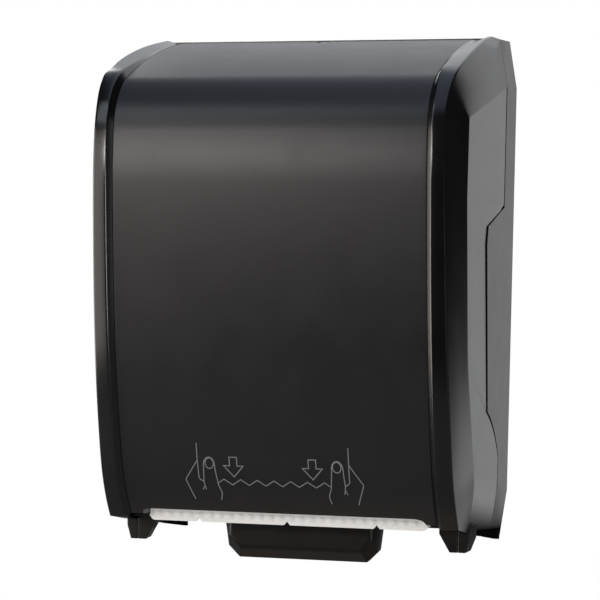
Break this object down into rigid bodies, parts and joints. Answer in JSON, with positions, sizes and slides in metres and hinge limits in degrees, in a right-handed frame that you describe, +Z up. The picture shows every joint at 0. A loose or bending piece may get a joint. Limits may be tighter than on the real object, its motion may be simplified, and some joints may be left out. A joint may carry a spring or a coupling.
{
  "type": "roll towel dispenser",
  "caption": "Wall-mounted lever roll towel dispenser with a swing-down lockable cover, roll arms, feed rollers and a tear strip.",
  "frame": {"origin": "centre of the four wall screws, in the back face that lies on the wall", "axes": "+X to the right along the wall seen from the room, +Y into the wall, +Z up"},
  "size_m": [0.314, 0.23, 0.4361],
  "materials": {
    "case_black": "satin moulded",
    "panel_black": "satin with a fine sparkle",
    "frame_black": "satin moulded",
    "frame_grey": "satin moulded",
    "strip_white": "satin moulded",
    "nylon": "natural",
    "steel": "plain bright",
    "rubber": "matte"
  },
  "bodies": {
    "chassis": {"rear_housing": "case_black", "strike_plate": "steel", "base_frame": "frame_black", "left_hinge_foot": "frame_black", "right_hinge_foot": "frame_black", "hinge_pins": "steel", "left_side_plate": "frame_grey", "right_side_plate": "frame_grey", "module_screws": "steel", "shaft_bushes": "nylon", "pinch_bushes": "nylon", "paper_chute": "frame_black", "tear_strip": "strip_white", "tear_blade": "steel", "left_roll_arm": "frame_grey", "arm_bracket": "frame_grey", "arm_pin": "steel", "arm_screws": "steel", "lever_bumpers": "rubber", "return_spring": "steel"},
    "cover": {"front_panel": "panel_black", "left_cheek": "case_black", "right_cheek": "case_black", "lock_housing": "frame_black"},
    "lock": {"lock_cylinder": "steel", "latch_cam": "steel"},
    "lever": {"lever_paddle": "frame_black", "lever_shaft": "steel", "sector_gear": "nylon", "spring_arm": "frame_grey"},
    "pinion": {"drive_pinion": "nylon", "one_way_clutch": "steel"},
    "feed_roller": {"feed_shaft": "steel", "feed_rollers": "rubber", "advance_wheel": "frame_grey"},
    "pinch_roller": {"pinch_shaft": "steel", "pinch_rollers": "nylon"},
    "left_roll_hub": {"left_hub": "frame_black"},
    "right_arm": {"right_roll_arm": "frame_grey"},
    "right_roll_hub": {"right_hub": "frame_black"}
  },
  "joints": [
    {"name": "cover_hinge", "type": "hinge", "parent": "chassis", "child": "cover", "pos_m": [0, -0.135, -0.19], "axis": [1, 0, 0], "range_deg": [0, 85]},
    {"name": "lock_turn", "type": "hinge", "parent": "cover", "child": "lock", "pos_m": [0, -0.0517, 0.21418], "axis": [0, -0.2147, 0.9767], "range_deg": [0, 90]},
    {"name": "lever_push", "type": "hinge", "parent": "chassis", "child": "lever", "pos_m": [0, -0.10337, -0.15121], "axis": [1, 0, 0], "range_deg": [0, 26], "stiffness_Nm_per_rad": 0.5, "springref_deg": -20.05, "deforming": ["return_spring"]},
    {"name": "pinion_turn", "type": "hinge", "parent": "chassis", "child": "pinion", "pos_m": [0, -0.136, -0.136], "axis": [1, 0, 0], "range_deg": [-92, 1]},
    {"name": "feed_turn", "type": "hinge", "parent": "chassis", "child": "feed_roller", "pos_m": [0, -0.136, -0.136], "axis": [1, 0, 0], "continuous": true},
    {"name": "pinch_turn", "type": "hinge", "parent": "chassis", "child": "pinch_roller", "pos_m": [0, -0.1633, -0.136], "axis": [1, 0, 0], "continuous": true},
    {"name": "left_hub_turn", "type": "hinge", "parent": "chassis", "child": "left_roll_hub", "pos_m": [0, -0.112, 0.06], "axis": [1, 0, 0], "continuous": true},
    {"name": "right_arm_swing", "type": "hinge", "parent": "chassis", "child": "right_arm", "pos_m": [0.1085, -0.013, 0.06], "axis": [0, 0, 1], "range_deg": [0, 12], "stiffness_Nm_per_rad": 1.2, "springref_deg": -11.46},
    {"name": "right_hub_turn", "type": "hinge", "parent": "right_arm", "child": "right_roll_hub", "pos_m": [0, -0.112, 0.06], "axis": [1, 0, 0], "continuous": true}
  ],
  "couplings": [
    {"joint": "pinion_turn", "follows": "lever_push", "ratio": -3.5},
    {"joint": "pinch_turn", "follows": "feed_turn", "ratio": -1.7}
  ]
}
